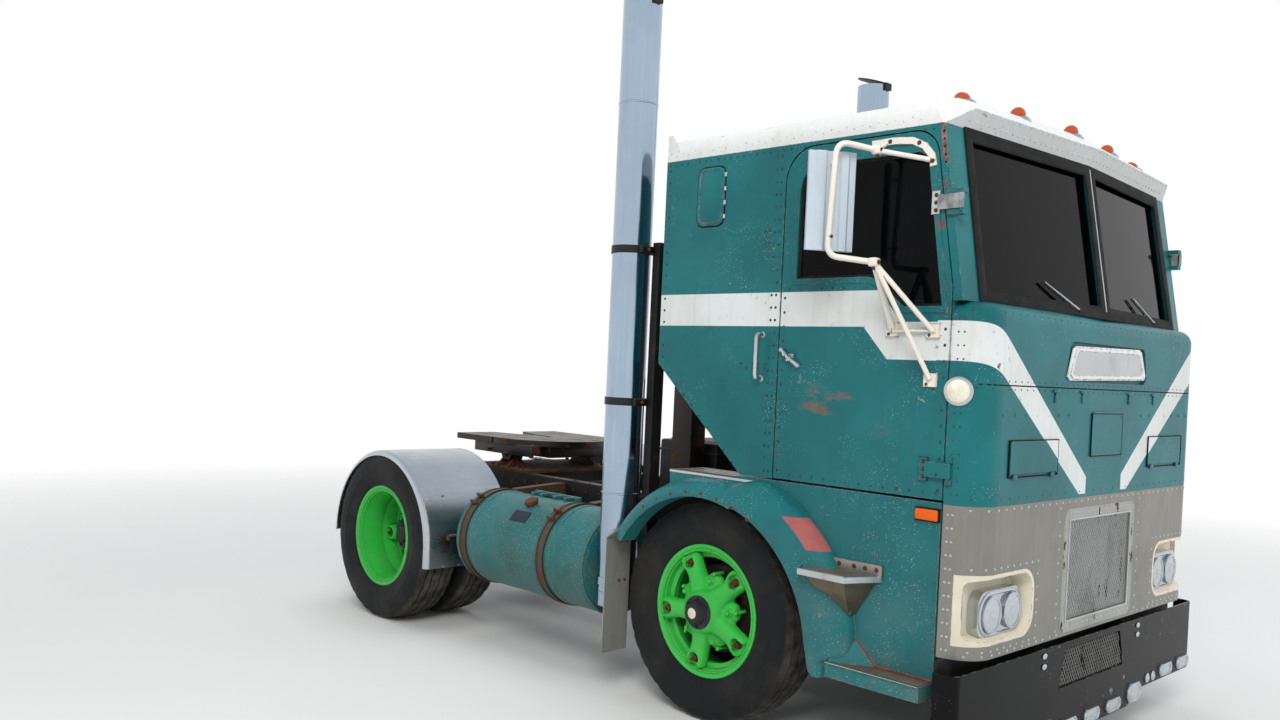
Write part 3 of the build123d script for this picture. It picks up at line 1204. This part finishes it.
WINDOW_FRAME_W = 26.0
WINDOW_FRAME_T = 4.0
for side, name in ((1, "left"), (-1, "right")):
    inner = CAB_HALF - CAB_WALL
    with BuildPart() as door:
        extrude(door_outline(side * inner, 0, 0), amount=side * CAB_WALL)
        # a pressed frame stands proud round the window
        extrude(window_outline(side * CAB_HALF, WINDOW_FRAME_W), amount=side * WINDOW_FRAME_T)
        extrude(window_outline(side * (inner - 1)), amount=side * (CAB_WALL + 20), mode=Mode.SUBTRACT)
        for z in HINGE_ZS:
            with BuildSketch(Plane.XY.offset(z - 30)):
                with BuildLine():
                    Polyline((side * CAB_HALF, st(-1180)), (side * CAB_HALF, st(-1240)),
                             (side * (CAB_HALF + HINGE_OUT - 6), st(HINGE_Y)),
                             (side * (CAB_HALF + HINGE_OUT + 8), st(HINGE_Y)),
                             (side * (CAB_HALF + 14), st(-1180)), close=True)
                make_face()
                with Locations((side * (CAB_HALF + HINGE_OUT), st(HINGE_Y))):
                    Circle(HINGE_R)
                    Circle(HINGE_PIN_R + PIN_GAP, mode=Mode.SUBTRACT)
            extrude(amount=60)
    save(door, f"door_{name}")

    with BuildPart() as door_glass:
        extrude(window_outline(side * (inner + 18)), amount=side * 5)
    save(door_glass, f"door_glass_{name}")

    # Mirror: a tube loop standing off the door, its feet and the mirror's case
    with BuildPart() as mirror:
        top, low = MIRROR_TOP, MIRROR_LOW
        path = [
            (CAB_HALF, DOOR_FRONT + 256, top), (MIRROR_X, DOOR_FRONT + 502, top + 7), (MIRROR_X, DOOR_FRONT + 472, low),
            (MIRROR_X, DOOR_FRONT + 251, low - 44), (CAB_HALF, DOOR_FRONT + 258, low - 304),
        ]
        with BuildLine():
            FilletPolyline(*[(side * x, st(y), z) for x, y, z in path], radius=40)
        run = (side * (MIRROR_X - CAB_HALF), 246, 7)
        with BuildSketch(Plane(origin=(side * CAB_HALF, st(DOOR_FRONT + 256), top), z_dir=run)):
            Circle(MIRROR_TUBE_R)
        sweep()
        # second leg, from the lower joint forward to the door's front edge
        leg = Vector(side * (CAB_HALF - MIRROR_X), -180, -459)
        with BuildSketch(Plane(origin=(side * MIRROR_X, st(DOOR_FRONT + 251), low - 44), z_dir=leg)):
            Circle(MIRROR_TUBE_R)
        extrude(amount=leg.length)
        with Locations(*[(side * (CAB_HALF + 5), st(DOOR_FRONT + y), z) for y, z in (
                (256, top), (258, low - 304), (71, low - 503))]):
            Box(10, 56, 56)
        # the case: a shallow tray with a ribbed back, seen from the front
        with Locations((side * (MIRROR_X + 40), st(DOOR_FRONT + 430), (top + low) / 2)):
            Box(MIRROR_WIDE, 40, MIRROR_HIGH)
        with Locations(*[(side * (MIRROR_X + 40 + x), st(DOOR_FRONT + 407), (top + low) / 2) for x in (-64, 0, 64)]):
            Box(34, 8, MIRROR_HIGH)
        extrude(door_outline(side * inner, 1, 1), amount=side * CAB_WALL, mode=Mode.SUBTRACT)
        add(door.part, mode=Mode.SUBTRACT)
    save(mirror, f"mirror_{name}")

# Inside of the cab
FLOOR_TOP = CAB_FLOOR + CAB_WALL
with BuildPart() as engine_cover:
    with Locations((0, st(-675), FLOOR_TOP + 150)):
        Box(640, 870, 300)
save(engine_cover, "engine_cover")

with BuildPart() as seats:
    for x in (-690, 690):
        with Locations((x, st(-560), FLOOR_TOP + 110)):
            Box(420, 420, 220)
        with Locations((x, st(-560), FLOOR_TOP + 290)):
            Box(520, 520, 140)
        with BuildSketch(Plane.YZ.offset(x - 250)):
            with BuildLine():
                Polyline((st(-420), FLOOR_TOP + 360), (st(-300), FLOOR_TOP + 360), (st(-190), FLOOR_TOP + 1050),
                         (st(-290), FLOOR_TOP + 1060), close=True)
            make_face()
        extrude(amount=500)
save(seats, "seats")

with BuildPart() as bunk:
    with Locations((0, st((-120 + CAB_REAR - CAB_WALL) / 2), 1840)):
        Box(2 * (CAB_HALF - CAB_WALL), CAB_REAR - CAB_WALL + 120, 120)
save(bunk, "bunk")

DASH_REAR = -1040.0
with BuildPart() as dash:
    with BuildSketch(Plane.YZ.offset(-(CAB_HALF - CAB_WALL))):
        with BuildLine():
            Polyline((st(NOSE_BACK + CAB_WALL), 1720), (st(NOSE_BACK + CAB_WALL), 2015), (st(DASH_REAR - 60), 2000),
                     (st(DASH_REAR), 1930), (st(DASH_REAR - 40), 1720), close=True)
        make_face()
    extrude(amount=2 * (CAB_HALF - CAB_WALL))
save(dash, "dash")

with BuildPart() as steering_wheel:
    axis = Vector(0, -sin(radians(35)), -cos(radians(35)))
    hub = Vector(690, st(-900), 2030)
    wheel_plane = Plane(origin=hub, x_dir=(1, 0, 0), z_dir=-axis)
    with BuildSketch(wheel_plane):
        Circle(45)
        Rectangle(440, 30)
        with Locations((0, -110)):
            Rectangle(30, 220)
    extrude(amount=12)
    with BuildSketch(wheel_plane):
        Circle(238)
        Circle(212, mode=Mode.SUBTRACT)
    extrude(amount=24)
    with BuildSketch(wheel_plane):
        Circle(24)
    extrude(amount=-260)
    add(dash.part, mode=Mode.SUBTRACT)
save(steering_wheel, "steering_wheel")

with BuildPart() as wipers:
    for side, x in zip((-1, 1), WIPER_XS):
        ahead = pane_outline(side, 0)[1]
        face = pane_plane(side)
        across_pane, up = side * x / cos(VEE), WIPER_FOOT
        reach, rise = side * WIPER_ARM[0] / cos(VEE), WIPER_ARM[1]
        length = sqrt(reach ** 2 + rise ** 2)
        turn = degrees(atan2(rise, reach))
        with BuildSketch(face.offset(-ahead * GLASS_BACK)):
            with Locations((across_pane, up)):
                Circle(14)
        extrude(amount=ahead * (GLASS_BACK + 14))
        # the arm rises from the pivot, and the blade lies along its outer part
        with BuildSketch(face.offset(ahead * 2)):
            with Locations(Location((across_pane + reach / 2, up + rise / 2), turn)):
                Rectangle(length, 9)
        extrude(amount=ahead * 8)
        with BuildSketch(face.offset(-ahead * GLASS_BACK)):
            with Locations(Location((across_pane + reach * 0.68, up + rise * 0.68), turn)):
                Rectangle(length * 0.9, 9)
        extrude(amount=ahead * (GLASS_BACK + 4))
    add(nose_panel.part, mode=Mode.SUBTRACT)
    add(cab_shell.part, mode=Mode.SUBTRACT)
save(wipers, "wipers")
